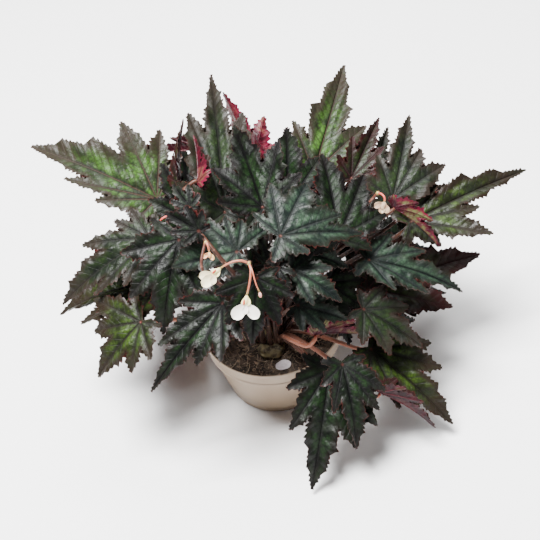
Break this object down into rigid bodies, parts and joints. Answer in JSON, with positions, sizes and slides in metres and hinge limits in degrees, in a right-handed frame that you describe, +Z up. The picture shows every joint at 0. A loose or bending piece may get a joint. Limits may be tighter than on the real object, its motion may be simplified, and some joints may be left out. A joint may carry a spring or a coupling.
{
  "type": "potted begonia",
  "caption": "Rhizomatous begonia with dark, deeply cut star-shaped leaves, wine red below, and small white flowers, in a pale plastic pot.",
  "frame": {"origin": "middle of the flat underside of the pot, where the plant stands", "axes": "+Z up, -Y towards the front of the plant, +X to the right as seen from the front"},
  "size_m": [0.4221, 0.3311, 0.2349],
  "materials": {
    "pot": "satin, thin moulded grey-beige plastic",
    "soil": "rough damp potting mix of bark and fibre",
    "stem": "fuzzy, salmon to red-brown",
    "leaf": "satin dark green with red-brown margins, wine red below",
    "petal": "soft white to cream"
  },
  "bodies": {
    "root": {"bud_front": "petal", "bud_left": "petal", "bud_red": "petal", "bud_right": "petal", "fallen_petal": "petal", "flower_left": "petal", "flower_right": "petal", "leaf_back_01": "leaf", "leaf_back_02": "leaf", "leaf_back_03": "leaf", "leaf_back_04": "leaf", "leaf_back_05": "leaf", "leaf_back_06": "leaf", "leaf_back_07": "leaf", "leaf_back_08": "leaf", "leaf_bottom_hanging": "leaf", "leaf_bottom_right": "leaf", "leaf_centre_maroon": "leaf", "leaf_centre_right_dark": "leaf", "leaf_centre_right_up": "leaf", "leaf_centre_star": "leaf", "leaf_centre_star_low": "leaf", "leaf_centre_top": "leaf", "leaf_centre_up": "leaf", "leaf_dark_low_centre": "leaf", "leaf_dark_low_right": "leaf", "leaf_far_left": "leaf", "leaf_front_left_long": "leaf", "leaf_front_right_small": "leaf", "leaf_front_right_teal": "leaf", "leaf_front_small_down": "leaf", "leaf_front_small_up": "leaf", "leaf_left_inner_dark": "leaf", "leaf_left_inner_up": "leaf", "leaf_left_low": "leaf", "leaf_left_mid": "leaf", "leaf_left_small_dark": "leaf", "leaf_left_star": "leaf", "leaf_maroon_upper_left": "leaf", "leaf_red_fold_right": "leaf", "leaf_red_fold_upper": "leaf", "leaf_red_strip": "leaf", "leaf_right_far": "leaf", "leaf_right_low_big": "leaf", "leaf_right_low_curl": "leaf", "leaf_right_low_inner": "leaf", "leaf_right_mid": "leaf", "leaf_right_mid_back": "leaf", "leaf_right_small": "leaf", "leaf_right_top": "leaf", "leaf_right_top_narrow": "leaf", "leaf_right_up_small": "leaf", "leaf_top_green": "leaf", "leaf_top_red": "leaf", "leaf_top_right_dark": "leaf", "leaf_upper_left_edge": "leaf", "leaf_upper_left_small": "leaf", "pot": "pot", "soil": "soil", "stems": "stem"}
  },
  "joints": []
}
